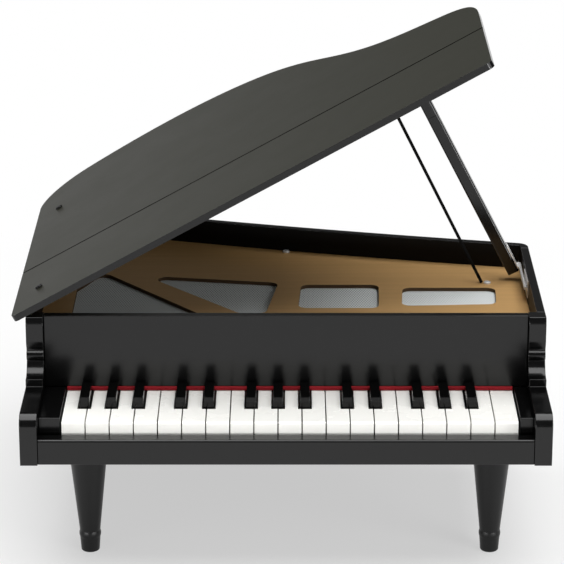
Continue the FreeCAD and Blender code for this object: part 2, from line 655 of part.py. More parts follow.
def lid_outline(z):
    def at(x, y):
        return Vector(x, y, z)

    q = LID_FRONT_CORNER_RADIUS
    near = LID_FRONT_Y + q * (1 - math.sqrt(0.5))
    inward = q * (1 - math.sqrt(0.5))
    return [
        Part.LineSegment(at(LID_LEFT + q, LID_FRONT_Y), at(LID_RIGHT - q, LID_FRONT_Y)),
        Part.Arc(at(LID_RIGHT - q, LID_FRONT_Y), at(LID_RIGHT - inward, near),
                 at(LID_RIGHT, LID_FRONT_Y + q)),
        Part.LineSegment(at(LID_RIGHT, LID_FRONT_Y + q), at(LID_RIGHT, LID_RIGHT_EDGE_END)),
        lid_back_edge(z),
        Part.LineSegment(at(LID_LEFT, LID_LEFT_EDGE_END), at(LID_LEFT, LID_FRONT_Y + q)),
        Part.Arc(at(LID_LEFT, LID_FRONT_Y + q), at(LID_LEFT + inward, near), at(LID_LEFT + q, LID_FRONT_Y)),
    ]


def lid():
    wire = Part.Wire(Part.__sortEdges__([e.toShape() for e in lid_outline(LID_BOTTOM)]))
    board = Part.Face(wire).extrude(Vector(0, 0, LID_THICKNESS))
    groove_y = LID_FRONT_Y + LID_GROOVE_BACK
    top = LID_BOTTOM + LID_THICKNESS
    groove = box(LID_LEFT - 1, LID_RIGHT + 1, groove_y, groove_y + LID_GROOVE_WIDTH,
                 top - LID_GROOVE_DEPTH, top + 1)
    board = board.cut(groove)
    return opened(hinge_pocket(board, LID_BOTTOM, LID_BOTTOM + HINGE_LEAF))


def hinge_leaf(y, y0, y1, z0, bore):
    inner = -HALF + HINGE_LEAF_WIDTH
    start = -HALF + HINGE_BARREL + HINGE_NOTCH_GAP
    leaf = rod_y(y0, y1, HINGE_X, HINGE_Z, HINGE_BARREL)
    leaf = leaf.fuse(box(-HALF, start, y0, y1, z0, z0 + HINGE_LEAF))
    leaf = leaf.fuse(box(start, inner, y - HINGE_LENGTH / 2, y + HINGE_LENGTH / 2, z0, z0 + HINGE_LEAF))
    return leaf.removeSplitter().cut(rod_y(y0, y1, HINGE_X, HINGE_Z, bore))


def lid_hinge_case_leaves():
    return Part.makeCompound([
        hinge_leaf(y, y - HINGE_LENGTH / 2, y - HINGE_KNUCKLE_GAP / 2, RIM_TOP - HINGE_LEAF, HINGE_PIN)
        for y in HINGE_YS])


def lid_hinge_lid_leaves():
    return opened(Part.makeCompound([
        hinge_leaf(y, y + HINGE_KNUCKLE_GAP / 2, y + HINGE_LENGTH / 2, LID_BOTTOM,
                   HINGE_PIN + HINGE_PIN_CLEARANCE)
        for y in HINGE_YS]))


def hinge_pins():
    pins = [rod_y(y - HINGE_LENGTH / 2, y + HINGE_LENGTH / 2, HINGE_X, HINGE_Z, HINGE_PIN) for y in HINGE_YS]
    pins.append(rod_y(PROP_HINGE_FRONT, PROP_HINGE_BACK, PROP_X, PROP_Z, HINGE_PIN))
    return Part.makeCompound(pins)


def lid_screws():
    heads = []
    for y in HINGE_YS:
        top = LID_BOTTOM + LID_THICKNESS
        place = Vector(LID_LEFT + LID_SCREW_INSET, y + HINGE_LENGTH / 4, top)
        head = Part.makeCylinder(SCREW_HEAD_RADIUS, SCREW_HEAD_HEIGHT, place)
        rim = [e for e in head.Edges if e.Closed and abs(e.Vertexes[0].Z - top - SCREW_HEAD_HEIGHT) < 1e-6]
        heads.append(head.makeFillet(SCREW_HEAD_HEIGHT * 0.6, rim))
    return opened(Part.makeCompound(heads))


# Prop stick, drawn upright and then leaned against the lid

PROP_FACE = PROP_X - PROP_BARREL - HINGE_LEAF - PROP_LEAF_GAP
PROP_FOLD = 90.0 - PROP_LEAN


def prop_reach():
    steps = 200
    best = None
    for step in range(steps):
        closed = OPEN * step / steps
        swing = math.radians(PROP_LEAN - LID_OPEN_ANGLE) + closed * (1 + PROP_FOLD / LID_OPEN_ANGLE)
        lid_angle = OPEN - closed
        height = (LID_BOTTOM - HINGE_Z + (PROP_X - HINGE_X) * math.sin(lid_angle)
                  + (HINGE_Z - PROP_Z) * math.cos(lid_angle))
        if swing < math.radians(85):
            for side in (PROP_FACE, PROP_FACE - PROP_THICKNESS):
                reach = (height - PROP_TIP_GAP + (PROP_X - side) * math.sin(swing)) / math.cos(swing)
                best = reach if best is None else min(best, reach)
    return best


PROP_LENGTH = prop_reach() + PROP_HEEL


def prop():
    stick = box(PROP_FACE - PROP_THICKNESS, PROP_FACE, PROP_Y - PROP_WIDTH / 2, PROP_Y + PROP_WIDTH / 2,
                PROP_Z - PROP_HEEL, PROP_Z - PROP_HEEL + PROP_LENGTH)
    long_edges = [e for e in stick.Edges if e.Length > PROP_LENGTH - 1e-6]
    return leaned(stick.makeFillet(PROP_EDGE_RADIUS, long_edges))


def prop_hinge_prop_leaf():
    y0 = PROP_HINGE_SPLIT + HINGE_KNUCKLE_GAP
    leaf = rod_y(y0, PROP_HINGE_BACK, PROP_X, PROP_Z, PROP_BARREL)
    leaf = leaf.fuse(box(PROP_FACE, PROP_FACE + HINGE_LEAF, PROP_Y - PROP_WIDTH / 2, PROP_Y + PROP_WIDTH / 2,
                         PROP_Z, PROP_Z + PROP_LEAF_HEIGHT))
    leaf = leaf.fuse(box(PROP_FACE, PROP_X, PROP_Y - PROP_WIDTH / 2, PROP_Y + PROP_WIDTH / 2,
                         PROP_Z, PROP_Z + PROP_BARREL))
    bore = rod_y(y0, PROP_HINGE_BACK, PROP_X, PROP_Z, HINGE_PIN + HINGE_PIN_CLEARANCE)
    return leaned(leaf.removeSplitter().cut(bore))


def prop_hinge_wall_leaf():
    leaf = rod_y(PROP_HINGE_FRONT, PROP_HINGE_SPLIT, PROP_X, PROP_Z, PROP_BARREL)
    leaf = leaf.fuse(box(WALL_INNER - HINGE_LEAF, WALL_INNER, PROP_HINGE_FRONT, PROP_HINGE_SPLIT,
                         PROP_Z - PROP_WALL_LEAF_DOWN, PROP_Z + PROP_WALL_LEAF_UP))
    leaf = leaf.fuse(box(PROP_X, WALL_INNER, PROP_HINGE_FRONT, PROP_HINGE_SPLIT,
                         PROP_Z - PROP_BARREL, PROP_Z - PROP_BARREL + HINGE_LEAF))
    return leaf.removeSplitter().cut(rod_y(PROP_HINGE_FRONT, PROP_HINGE_SPLIT, PROP_X, PROP_Z, HINGE_PIN))


def cord_ends():
    lean = math.radians(CORD_LEAN)
    along = Vector(-math.sin(lean), 0, math.cos(lean))
    lift = CORD_RADIUS * math.sin(lean) + CORD_END_GAP
    start = Vector(CORD_SCREW[0] - CORD_BESIDE_SCREW, CORD_SCREW[1], PLATE_TOP + lift)
    under = Vector(-math.sin(OPEN), 0, math.cos(OPEN))
    hinge = Vector(HINGE_X, CORD_SCREW[1], HINGE_Z)
    reach = ((hinge - start).dot(under) + LID_BOTTOM - HINGE_Z - CORD_END_GAP) / along.dot(under)
    return start, start + along * reach


def lid_cord():
    start, end = cord_ends()
    return Part.makeCylinder(CORD_RADIUS, (end - start).Length, start, end - start)


def nodes():
    built = {
        "left_arm": arm(-HALF, -ARM_INNER),
        "right_arm": arm(ARM_INNER, HALF),
        "left_side_panel": left_side_panel(),
        "right_side_panel": right_side_panel(),
        "bent_side_panel": bent_side_panel(),
        "bottom_board": bottom_board(),
        "front_rail": front_rail(),
        "key_blocks": key_blocks(),
        "fallboard": fallboard(),
        "felt_strip": felt_strip(),
        "legs": legs(),
        "frame_plate": frame_plate(),
        "plate_screws": plate_screws(),
        "speaker_net": speaker_net(),
        "tone_pipes": tone_pipes(),
        "inner_battens": inner_battens(),
        "key_rails": key_rails(),
        "key_felts": key_felts(),
        "key_pivot_rod": key_pivot_rod(),
        "lid": lid(),
        "lid_screws": lid_screws(),
        "lid_hinge_case_leaves": lid_hinge_case_leaves(),
        "lid_hinge_lid_leaves": lid_hinge_lid_leaves(),
        "hinge_pins": hinge_pins(),
        "prop": prop(),
        "prop_hinge_wall_leaf": prop_hinge_wall_leaf(),
        "prop_hinge_prop_leaf": prop_hinge_prop_leaf(),
        "lid_cord": lid_cord(),
    }
    counts = {True: 0, False: 0}
    for key in key_layout():
        counts[key["white"]] += 1
        colour = "white" if key["white"] else "black"
        node = "%s_key_%02d" % (colour, counts[key["white"]])
        built[node] = Part.makeCompound([key_body(key), hammer(key)])
    return built


os.makedirs("parts", exist_ok=True)
for name, shape in nodes().items():
    shape.translate(-ORIGIN)
    shape.exportStep("parts/%s.step" % name)

print("origin shift", tuple(round(v, 3) for v in ORIGIN))
places = {
    "key pivot": Vector(0, PIVOT_Y, PIVOT_Z),
    "lid hinge": Vector(HINGE_X, 0, HINGE_Z),
    "prop hinge": Vector(PROP_X, PROP_Y, PROP_Z),
    "cord start": cord_ends()[0],
    "cord end": cord_ends()[1],
}
for label, place in places.items():
    print(label, tuple(round(v, 3) for v in place - ORIGIN))
print("prop reach", round(prop_reach(), 3))
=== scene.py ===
import json
import math

import bmesh
import bpy
from mathutils import Matrix, Vector

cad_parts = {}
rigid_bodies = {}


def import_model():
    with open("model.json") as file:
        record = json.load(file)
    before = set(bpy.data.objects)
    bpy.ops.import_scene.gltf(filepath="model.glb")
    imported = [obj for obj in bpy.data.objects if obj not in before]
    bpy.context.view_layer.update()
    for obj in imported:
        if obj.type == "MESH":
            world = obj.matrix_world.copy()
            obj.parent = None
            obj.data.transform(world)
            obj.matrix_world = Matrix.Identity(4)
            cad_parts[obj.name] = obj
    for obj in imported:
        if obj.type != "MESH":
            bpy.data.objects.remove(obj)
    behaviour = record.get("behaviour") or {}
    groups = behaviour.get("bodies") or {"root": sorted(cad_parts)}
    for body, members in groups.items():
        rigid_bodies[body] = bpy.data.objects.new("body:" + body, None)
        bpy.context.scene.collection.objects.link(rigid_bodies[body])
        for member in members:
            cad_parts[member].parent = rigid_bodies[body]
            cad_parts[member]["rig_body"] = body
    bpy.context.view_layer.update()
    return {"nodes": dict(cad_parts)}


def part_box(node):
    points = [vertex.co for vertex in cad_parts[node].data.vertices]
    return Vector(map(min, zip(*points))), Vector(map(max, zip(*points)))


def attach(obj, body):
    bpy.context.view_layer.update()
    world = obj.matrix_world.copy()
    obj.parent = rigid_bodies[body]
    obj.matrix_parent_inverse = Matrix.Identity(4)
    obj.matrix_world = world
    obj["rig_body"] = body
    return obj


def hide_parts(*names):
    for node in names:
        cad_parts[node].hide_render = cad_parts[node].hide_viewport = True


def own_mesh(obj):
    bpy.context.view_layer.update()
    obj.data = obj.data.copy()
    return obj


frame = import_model()
nodes = frame["nodes"]
print("frame loaded:", len(nodes), "nodes")

# the case's own datum: middle plane between the arms, their front face, the floor
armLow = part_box("left_arm")[0]
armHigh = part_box("right_arm")[1]
middleX = (armLow.x + armHigh.x) / 2
frontY = armLow.y


def benchPoint(x, y, z):  # millimetres from the datum to metres in the row frame
    return Vector((middleX + x / 1000, frontY + y / 1000, z / 1000))


# camera

camera = {"back": 2035.4, "height": 974.5, "pitch": 19.3, "lens": 176.43, "sensor": 36.0,
          "shiftX": -0.0071, "clip": (0.05, 30.0)}


def setCamera():
    data = bpy.data.cameras.new("photoCamera")
    data.lens = camera["lens"]
    data.sensor_width = camera["sensor"]
    data.shift_x = camera["shiftX"]
    data.clip_start, data.clip_end = camera["clip"]
    cam = bpy.data.objects.new("photoCamera", data)
    cam.location = benchPoint(0, -camera["back"], camera["height"])
    cam.rotation_euler = (math.radians(90 - camera["pitch"]), 0, 0)
    bpy.context.scene.collection.objects.link(cam)
    bpy.context.scene.camera = cam


setCamera()
print("camera set")


# shared shader groups

socketKinds = {"colour": "NodeSocketColor", "value": "NodeSocketFloat"}
lacquerPattern = {"cloudScale": 22.0, "cloudDetail": 5.0, "peelScale": 900.0, "peelDetail": 2.0,
                  "peelDepth": 0.00004}
streakPattern = {"wideStretch": (3.0, 90.0, 30.0), "wideScale": 2.2, "wideDetail": 5.0, "wideRough": 0.6,
                 "fineStretch": (8.0, 700.0, 200.0), "fineScale": 2.0, "fineDetail": 3.0,
                 "fineShare": 0.35, "darkest": 0.42, "lightest": 0.92, "depth": 0.00005}
fibrePattern = {"detail": 6.0, "distortion": 1.5, "strength": 0.6, "depth": 0.0003,
                "roughness": 0.95, "specular": 0.1}


def newGroup(name, inputs, outputs):
    group = bpy.data.node_groups.new(name, "ShaderNodeTree")
    for way, sockets in (("INPUT", inputs), ("OUTPUT", outputs)):
        for label, kind in sockets.items():
            group.interface.new_socket(label, in_out=way, socket_type=socketKinds[kind])
    tree = group.nodes
    return group, tree, group.links, tree.new("NodeGroupInput"), tree.new("NodeGroupOutput")


def objectCoordinates(tree, links, scale):
    coords = tree.new("ShaderNodeTexCoord")
    mapping = tree.new("ShaderNodeMapping")
    mapping.inputs["Scale"].default_value = scale
    links.new(coords.outputs["Object"], mapping.inputs["Vector"])
    return mapping.outputs["Vector"]


def noiseNode(tree, links, vector, scale, detail, rough=0.55):
    noise = tree.new("ShaderNodeTexNoise")
    noise.inputs["Scale"].default_value = scale
    noise.inputs["Detail"].default_value = detail
    noise.inputs["Roughness"].default_value = rough
    links.new(vector, noise.inputs["Vector"])
    return noise.outputs["Fac"]


def feed(links, source, socket):  # a link from another node, or a plain number or colour
    if hasattr(source, "is_output"):
        links.new(source, socket)
    else:
        socket.default_value = source


def mathNode(tree, links, operation, *sources):
    node = tree.new("ShaderNodeMath")
    node.operation = operation
    for source, socket in zip(sources, node.inputs):
        feed(links, source, socket)
    return node.outputs[0]


def rangeNode(tree, links, value, low, high, fromLow=0.3, fromHigh=0.7):
    span = tree.new("ShaderNodeMapRange")
    for label, source in (("Value", value), ("From Min", fromLow), ("From Max", fromHigh),
                          ("To Min", low), ("To Max", high)):
        feed(links, source, span.inputs[label])
    return span.outputs["Result"]


def mixColours(tree, links, factor, first, second):
    mix = tree.new("ShaderNodeMix")
    mix.data_type = "RGBA"
    for source, place in ((factor, 0), (first, 6), (second, 7)):  # the colour sockets of this node
        feed(links, source, mix.inputs[place])
    return mix.outputs[2]


# sprayed lacquer: faint orange peel, cloudy sheen and a little handling haze
def buildLacquerGroup():
    group, tree, links, start, end = newGroup(
        "sprayedLacquer",
        {"Colour": "colour", "Haze": "colour", "Smoothest": "value", "Roughest": "value"},
        {"Colour": "colour", "Roughness": "value", "Height": "value"})
    given = start.outputs
    vector = objectCoordinates(tree, links, (1, 1, 1))
    cloud = noiseNode(tree, links, vector, lacquerPattern["cloudScale"], lacquerPattern["cloudDetail"])
    peel = noiseNode(tree, links, vector, lacquerPattern["peelScale"], lacquerPattern["peelDetail"])
    colour = mixColours(tree, links, cloud, given["Colour"], given["Haze"])
    rough = rangeNode(tree, links, cloud, given["Smoothest"], given["Roughest"])
    links.new(colour, end.inputs["Colour"])
    links.new(rough, end.inputs["Roughness"])
    links.new(peel, end.inputs["Height"])
    return group


# long streaks along X, as a brushed or grained coating shows
def buildStreakGroup():
    group, tree, links, start, end = newGroup(
        "longStreaks",
        {"Light": "colour", "Dark": "colour", "Smoothest": "value", "Roughest": "value"},
        {"Colour": "colour", "Roughness": "value", "Height": "value"})
    given = start.outputs
    wide = noiseNode(tree, links, objectCoordinates(tree, links, streakPattern["wideStretch"]),
                     streakPattern["wideScale"], streakPattern["wideDetail"], streakPattern["wideRough"])
    fine = noiseNode(tree, links, objectCoordinates(tree, links, streakPattern["fineStretch"]),
                     streakPattern["fineScale"], streakPattern["fineDetail"])
    both = mathNode(tree, links, "MULTIPLY_ADD", fine, streakPattern["fineShare"], wide)
    share = rangeNode(tree, links, both, 0.0, 1.0, streakPattern["darkest"], streakPattern["lightest"])
    colour = mixColours(tree, links, share, given["Dark"], given["Light"])
    rough = rangeNode(tree, links, fine, given["Smoothest"], given["Roughest"])
    links.new(colour, end.inputs["Colour"])
    links.new(rough, end.inputs["Roughness"])
    links.new(share, end.inputs["Height"])
    return group


# short tangled fibres for felt and braid
def buildFibreGroup():
    group, tree, links, start, end = newGroup(
        "tangledFibre",
        {"Light": "colour", "Dark": "colour", "Fineness": "value"},
        {"Colour": "colour", "Height": "value"})
    given = start.outputs
    coords = tree.new("ShaderNodeTexCoord")
    noise = tree.new("ShaderNodeTexNoise")
    noise.inputs["Detail"].default_value = fibrePattern["detail"]
    noise.inputs["Distortion"].default_value = fibrePattern["distortion"]
    links.new(coords.outputs["Object"], noise.inputs["Vector"])
    links.new(given["Fineness"], noise.inputs["Scale"])
    share = rangeNode(tree, links, noise.outputs["Fac"], 0.0, 1.0)
    links.new(mixColours(tree, links, share, given["Dark"], given["Light"]), end.inputs["Colour"])
    links.new(share, end.inputs["Height"])
    return group


lacquerGroup = buildLacquerGroup()
streakGroup = buildStreakGroup()
fibreGroup = buildFibreGroup()
print("shader groups built")


def startMaterial(name):
    material = bpy.data.materials.new(name)
    material.use_nodes = True
    tree, links = material.node_tree.nodes, material.node_tree.links
    return material, tree, links, tree["Principled BSDF"]


def bumpFrom(tree, links, height, shader, strength, depth):
    bump = tree.new("ShaderNodeBump")
    bump.inputs["Strength"].default_value = strength
    bump.inputs["Distance"].default_value = depth
    links.new(height, bump.inputs["Height"])
    links.new(bump.outputs["Normal"], shader.inputs["Normal"])


def groupMaterial(name, group, look, strength, depth):
    material, tree, links, shader = startMaterial(name)
    node = tree.new("ShaderNodeGroup")
    node.node_tree = group
    for socket in node.inputs:
        value = look[socket.name]
        socket.default_value = (*value, 1) if isinstance(value, tuple) else value
    links.new(node.outputs["Colour"], shader.inputs["Base Color"])
    if "Roughness" in node.outputs:
        links.new(node.outputs["Roughness"], shader.inputs["Roughness"])
    bumpFrom(tree, links, node.outputs["Height"], shader, strength, depth)
    return material, shader


def lacquerMaterial(name, look):
    material, shader = groupMaterial(name, lacquerGroup, look, look["peel"], lacquerPattern["peelDepth"])
    shader.inputs["Specular IOR Level"].default_value = look["specular"]
    return material


def streakMaterial(name, look):
    material, shader = groupMaterial(name, streakGroup, look, look["bump"], streakPattern["depth"])
    shader.inputs["Metallic"].default_value = look["metal"]
    return material


def fibreMaterial(name, look):
    material, shader = groupMaterial(name, fibreGroup, look,
                                     fibrePattern["strength"], fibrePattern["depth"])
    shader.inputs["Roughness"].default_value = fibrePattern["roughness"]
    shader.inputs["Specular IOR Level"].default_value = fibrePattern["specular"]
    return material


lacquerLooks = {
    "caseLacquer": {"Colour": (0.0015, 0.0015, 0.0016), "Haze": (0.0022, 0.0022, 0.0022),
                    "Smoothest": 0.16, "Roughest": 0.2, "peel": 0.03, "specular": 0.43},
    "lidLacquer": {"Colour": (0.0145, 0.0148, 0.0085), "Haze": (0.0175, 0.0178, 0.011),
                   "Smoothest": 0.36, "Roughest": 0.4, "peel": 0.06, "specular": 0.5},
    "legLacquer": {"Colour": (0.0015, 0.0015, 0.0016), "Haze": (0.0022, 0.0022, 0.0022),
                   "Smoothest": 0.34, "Roughest": 0.4, "peel": 0.03, "specular": 0.3},
    "ivoryPlastic": {"Colour": (0.88, 0.875, 0.835), "Haze": (0.9, 0.895, 0.86),
                     "Smoothest": 0.24, "Roughest": 0.3, "peel": 0.02, "specular": 0.15},
    "ebonyPlastic": {"Colour": (0.0015, 0.0015, 0.0015), "Haze": (0.0022, 0.0022, 0.0022),
                     "Smoothest": 0.12, "Roughest": 0.16, "peel": 0.02, "specular": 0.3},
    "blackScrew": {"Colour": (0.003, 0.003, 0.003), "Haze": (0.005, 0.005, 0.005),
                   "Smoothest": 0.3, "Roughest": 0.4, "peel": 0.05, "specular": 0.2},
    "wellShadeBlack": {"Colour": (0.0012, 0.0011, 0.001), "Haze": (0.002, 0.0018, 0.0016),
                   "Smoothest": 0.5, "Roughest": 0.6, "peel": 0.05, "specular": 0.15},
    "rawEdgeAndShade": {"Colour": (0.1, 0.062, 0.034), "Haze": (0.07, 0.042, 0.022),
                "Smoothest": 0.7, "Roughest": 0.8, "peel": 0.1, "specular": 0.1},
}
streakLooks = {
    "goldPlate": {"Light": (0.68, 0.41, 0.165), "Dark": (0.59, 0.35, 0.135),
                  "Smoothest": 0.4, "Roughest": 0.48, "bump": 0.05, "metal": 0.2},
    "brightSteel": {"Light": (0.9, 0.9, 0.9), "Dark": (0.8, 0.8, 0.8),
                    "Smoothest": 0.22, "Roughest": 0.3, "bump": 0.05, "metal": 0.3},
    "nickelPlate": {"Light": (0.86, 0.86, 0.85), "Dark": (0.74, 0.73, 0.72),
                    "Smoothest": 0.18, "Roughest": 0.28, "bump": 0.04, "metal": 0.4},
    "pipeAluminium": {"Light": (0.8, 0.8, 0.82), "Dark": (0.68, 0.68, 0.7),
                      "Smoothest": 0.25, "Roughest": 0.4, "bump": 0.08, "metal": 1.0},
    "bareWood": {"Light": (0.66, 0.5, 0.33), "Dark": (0.5, 0.36, 0.22),
                 "Smoothest": 0.6, "Roughest": 0.75, "bump": 0.3, "metal": 0.0},
}
fibreLooks = {
    "redFelt": {"Light": (0.38, 0.024, 0.032), "Dark": (0.27, 0.014, 0.02), "Fineness": 1800.0},
    "cordBraid": {"Light": (0.004, 0.004, 0.004), "Dark": (0.002, 0.002, 0.002), "Fineness": 2500.0},
}
finishes = {}
for makeFinish, looks in ((lacquerMaterial, lacquerLooks), (streakMaterial, streakLooks),
                          (fibreMaterial, fibreLooks)):
    for name, look in looks.items():
        finishes[name] = makeFinish(name, look)
print("finishes made:", len(finishes))


# CAD boards and keys get their edges eased, as the real ones are sanded or moulded

easing = {"merge": 0.01, "flat": 0.4, "leastAngle": 38.0, "segments": 3, "smoothAngle": 32.0}
easedNodes = {
    "left_arm": {"finish": "caseLacquer", "edge": 0.5},
    "right_arm": {"finish": "caseLacquer", "edge": 0.5},
    "left_side_panel": {"finish": "caseLacquer", "edge": 0.25},
    "right_side_panel": {"finish": "caseLacquer", "edge": 0.6},
    "bent_side_panel": {"finish": "caseLacquer", "edge": 0.6},
    "front_rail": {"finish": "caseLacquer", "edge": 0.5},
    "key_blocks": {"finish": "caseLacquer", "edge": 0.6},
    "fallboard": {"finish": "caseLacquer", "edge": 0.8},
    "prop": {"finish": "caseLacquer", "edge": 0.4},
    "felt_strip": {"finish": "redFelt", "edge": 0.7},
    "key_felts": {"finish": "redFelt", "edge": 0.4},
}
wellShadeLook = {"finish": "wellShadeBlack", "upright": 0.1}  # painted shade: the walls' faces inside the well get a darker, duller black than the case lacquer


def newPiece(name, bm, finish, body):
    mesh = bpy.data.meshes.new(name)
    bm.to_mesh(mesh)
    bm.free()
    for polygon in mesh.polygons:
        polygon.use_smooth = True
    mesh.set_sharp_from_angle(angle=math.radians(easing["smoothAngle"]))
    piece = bpy.data.objects.new(name, mesh)
    bpy.context.scene.collection.objects.link(piece)
    mesh.materials.append(finishes[finish])
    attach(piece, body)
    return piece


def easeEdges(bm, edges, radius):
    bmesh.ops.bevel(bm, geom=edges, offset=radius / 1000, offset_type="OFFSET",
                    segments=easing["segments"], profile=0.5, affect="EDGES",
                    clamp_overlap=True, material=-1)


def isSharp(edge):
    if len(edge.link_faces) != 2:
        return False
    return edge.calc_face_angle(0.0) > math.radians(easing["leastAngle"])


def easedCopy(node, finish, edge, skip=None):
    bm = bmesh.new()
    bm.from_mesh(nodes[node].data)
    bmesh.ops.remove_doubles(bm, verts=bm.verts, dist=easing["merge"] / 1000)
    bmesh.ops.dissolve_limit(bm, angle_limit=math.radians(easing["flat"]),
                             verts=bm.verts, edges=bm.edges)
    sharp = [e for e in bm.edges if isSharp(e)
             and not (skip and skip((e.verts[0].co + e.verts[1].co) / 2))]
    easeEdges(bm, sharp, edge)
    piece = newPiece(node + "_eased", bm, finish, nodes[node]["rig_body"])
    weighted = piece.modifiers.new("faceNormals", "WEIGHTED_NORMAL")
    weighted.keep_sharp = True
    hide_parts(node)
    return piece


def paintFaces(piece, finish, chosen):
    piece.data.materials.append(finishes[finish])
    for polygon in piece.data.polygons:
        if chosen(polygon):
            polygon.material_index = 1


plateLow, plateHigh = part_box("frame_plate")
wellMiddle = (plateLow + plateHigh) / 2
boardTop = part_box("bottom_board")[1].z


def facesInward(polygon):  # wall faces that look at the middle of the well, above the bottom board
    if abs(polygon.normal.z) >= wellShadeLook["upright"] or polygon.center.z <= boardTop:
        return False
    return polygon.normal.dot(wellMiddle - polygon.center) > 0


for node, look in easedNodes.items():
    piece = easedCopy(node, look["finish"], look["edge"])
    if node.endswith("panel"):
        # painted shade: the inward wall faces take the darker, duller black
        paintFaces(piece, wellShadeLook["finish"], facesInward)
print("case boards eased")


# keys

keyLook = {"white": "ivoryPlastic", "whiteEdge": 0.7, "black": "ebonyPlastic", "blackEdge": 0.9,
           "footReach": 0.1}
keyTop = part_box("white_key_01")[1].z


def sharpenFoot(piece):  # a crisp line where a black key stands on the level of the white tops
    points = piece.data.vertices
    for line in piece.data.edges:
        if all(abs(points[v].co.z - keyTop) < keyLook["footReach"] / 1000 for v in line.vertices):
            line.use_edge_sharp = True


for node in nodes:
    if node.startswith("white_key"):
        easedCopy(node, keyLook["white"], keyLook["whiteEdge"])
    elif node.startswith("black_key"):
        sharpenFoot(easedCopy(node, keyLook["black"], keyLook["blackEdge"]))
print("keys eased")


# lid: the groove's own edges stay crisp; the groove's floor is painted near-black as painted shade, and the
# lid's edge faces get the darker case lacquer as painted shade

lidLook = {"finish": "lidLacquer", "edge": 1.1, "hinge": (-212.5, 0.0, 202.65), "open": 29.1, "thick": 5.65,
           "grooveY": 191.2, "grooveReach": 2.0, "grooveFrom": 0.3, "grooveTo": 1.4,
           "grooveShadeFinish": "blackScrew", "rimShadeFinish": "caseLacquer", "flat": 0.97}


def besideGroove(point):
    return abs(point.y - benchPoint(0, lidLook["grooveY"], 0).y) < lidLook["grooveReach"] / 1000


def finishLid(piece):
    tilt = math.radians(lidLook["open"])
    upward = Vector((-math.sin(tilt), 0, math.cos(tilt)))
    hinge = benchPoint(*lidLook["hinge"])
    piece.data.materials.append(finishes[lidLook["grooveShadeFinish"]])
    piece.data.materials.append(finishes[lidLook["rimShadeFinish"]])
    for polygon in piece.data.polygons:
        below = lidLook["thick"] - (polygon.center - hinge).dot(upward) * 1000
        inGroove = lidLook["grooveFrom"] < below < lidLook["grooveTo"]
        # painted shade: the groove's floor gets the near-black screw finish
        if inGroove and besideGroove(polygon.center):
            polygon.material_index = 1
        # painted shade: the lid's edge faces get the darker case lacquer instead of the lid's own
        elif abs(polygon.normal.dot(upward)) < lidLook["flat"]:
            polygon.material_index = 2


finishLid(easedCopy("lid", lidLook["finish"], lidLook["edge"], skip=besideGroove))
print("lid eased")


# nodes that keep their CAD shape

plainNodes = {
    "legs": "legLacquer", "bottom_board": "caseLacquer",
    "frame_plate": "goldPlate", "plate_screws": "brightSteel",
    "tone_pipes": "pipeAluminium", "inner_battens": "bareWood",
    "key_rails": "bareWood", "key_pivot_rod": "brightSteel",
    "lid_hinge_case_leaves": "nickelPlate", "lid_hinge_lid_leaves": "nickelPlate",
    "hinge_pins": "nickelPlate", "lid_screws": "blackScrew",
    "prop_hinge_wall_leaf": "nickelPlate", "prop_hinge_prop_leaf": "nickelPlate",
}
plateEdgeShade = {"finish": "rawEdgeAndShade", "upright": 0.5}  # the cut faces round the plate and its windows: a bare board's brown, made darker as painted shade inside the windows
for node, finish in plainNodes.items():
    mesh = nodes[node].data
    mesh.materials.clear()
    mesh.materials.append(finishes[finish])
# partly painted shade: the plate's cut faces get a bare-edge brown, darkened for the shade inside the
# windows
paintFaces(nodes["frame_plate"], plateEdgeShade["finish"],
           lambda polygon: abs(polygon.normal.z) < plateEdgeShade["upright"])
print("plain nodes finished")


# prop tip: the stick's upper end, up to the lid's underside

propTip = {"reach": 207.5, "cadReach": 156.34, "pivot": (203.1, 236.0, 194.5), "face": 2.4,
           "thick": 10.0, "wide": 12.0, "lean": 27.4, "edge": 1.5}


def buildPropTip():
    length = propTip["reach"] - propTip["cadReach"]
    size = Vector((propTip["thick"], propTip["wide"], length)) / 1000
    middle = Vector((-propTip["face"] - propTip["thick"] / 2, 0, propTip["cadReach"] + length / 2)) / 1000
    turn = Matrix.Rotation(math.radians(-propTip["lean"]), 3, "Y")
    bm = bmesh.new()
    bmesh.ops.create_cube(bm, size=1.0)
    longEdges = [e for e in bm.edges if e.verts[0].co.z * e.verts[1].co.z < 0]  # from end to end
    bmesh.ops.scale(bm, vec=size, verts=bm.verts)
    easeEdges(bm, longEdges, propTip["edge"])
    bmesh.ops.translate(bm, vec=middle, verts=bm.verts)
    bmesh.ops.rotate(bm, cent=(0, 0, 0), matrix=turn, verts=bm.verts)
    bmesh.ops.translate(bm, vec=benchPoint(*propTip["pivot"]), verts=bm.verts)
    return newPiece("prop_tip", bm, "caseLacquer", "prop")


buildPropTip()
print("prop tip added")


# cord: taut from the plate's screw to the lid's underside

cordLook = {"start": (169.4, 226.0, 182.427), "end": (78.306, 226.0, 364.339), "diameter": 2.8,
            "stops": (0.0, 0.06, 0.94, 1.0), "order": 3, "steps": 8, "roundness": 3}


def meshOf(route):
    return bpy.data.meshes.new_from_object(route.evaluated_get(bpy.context.evaluated_depsgraph_get()))


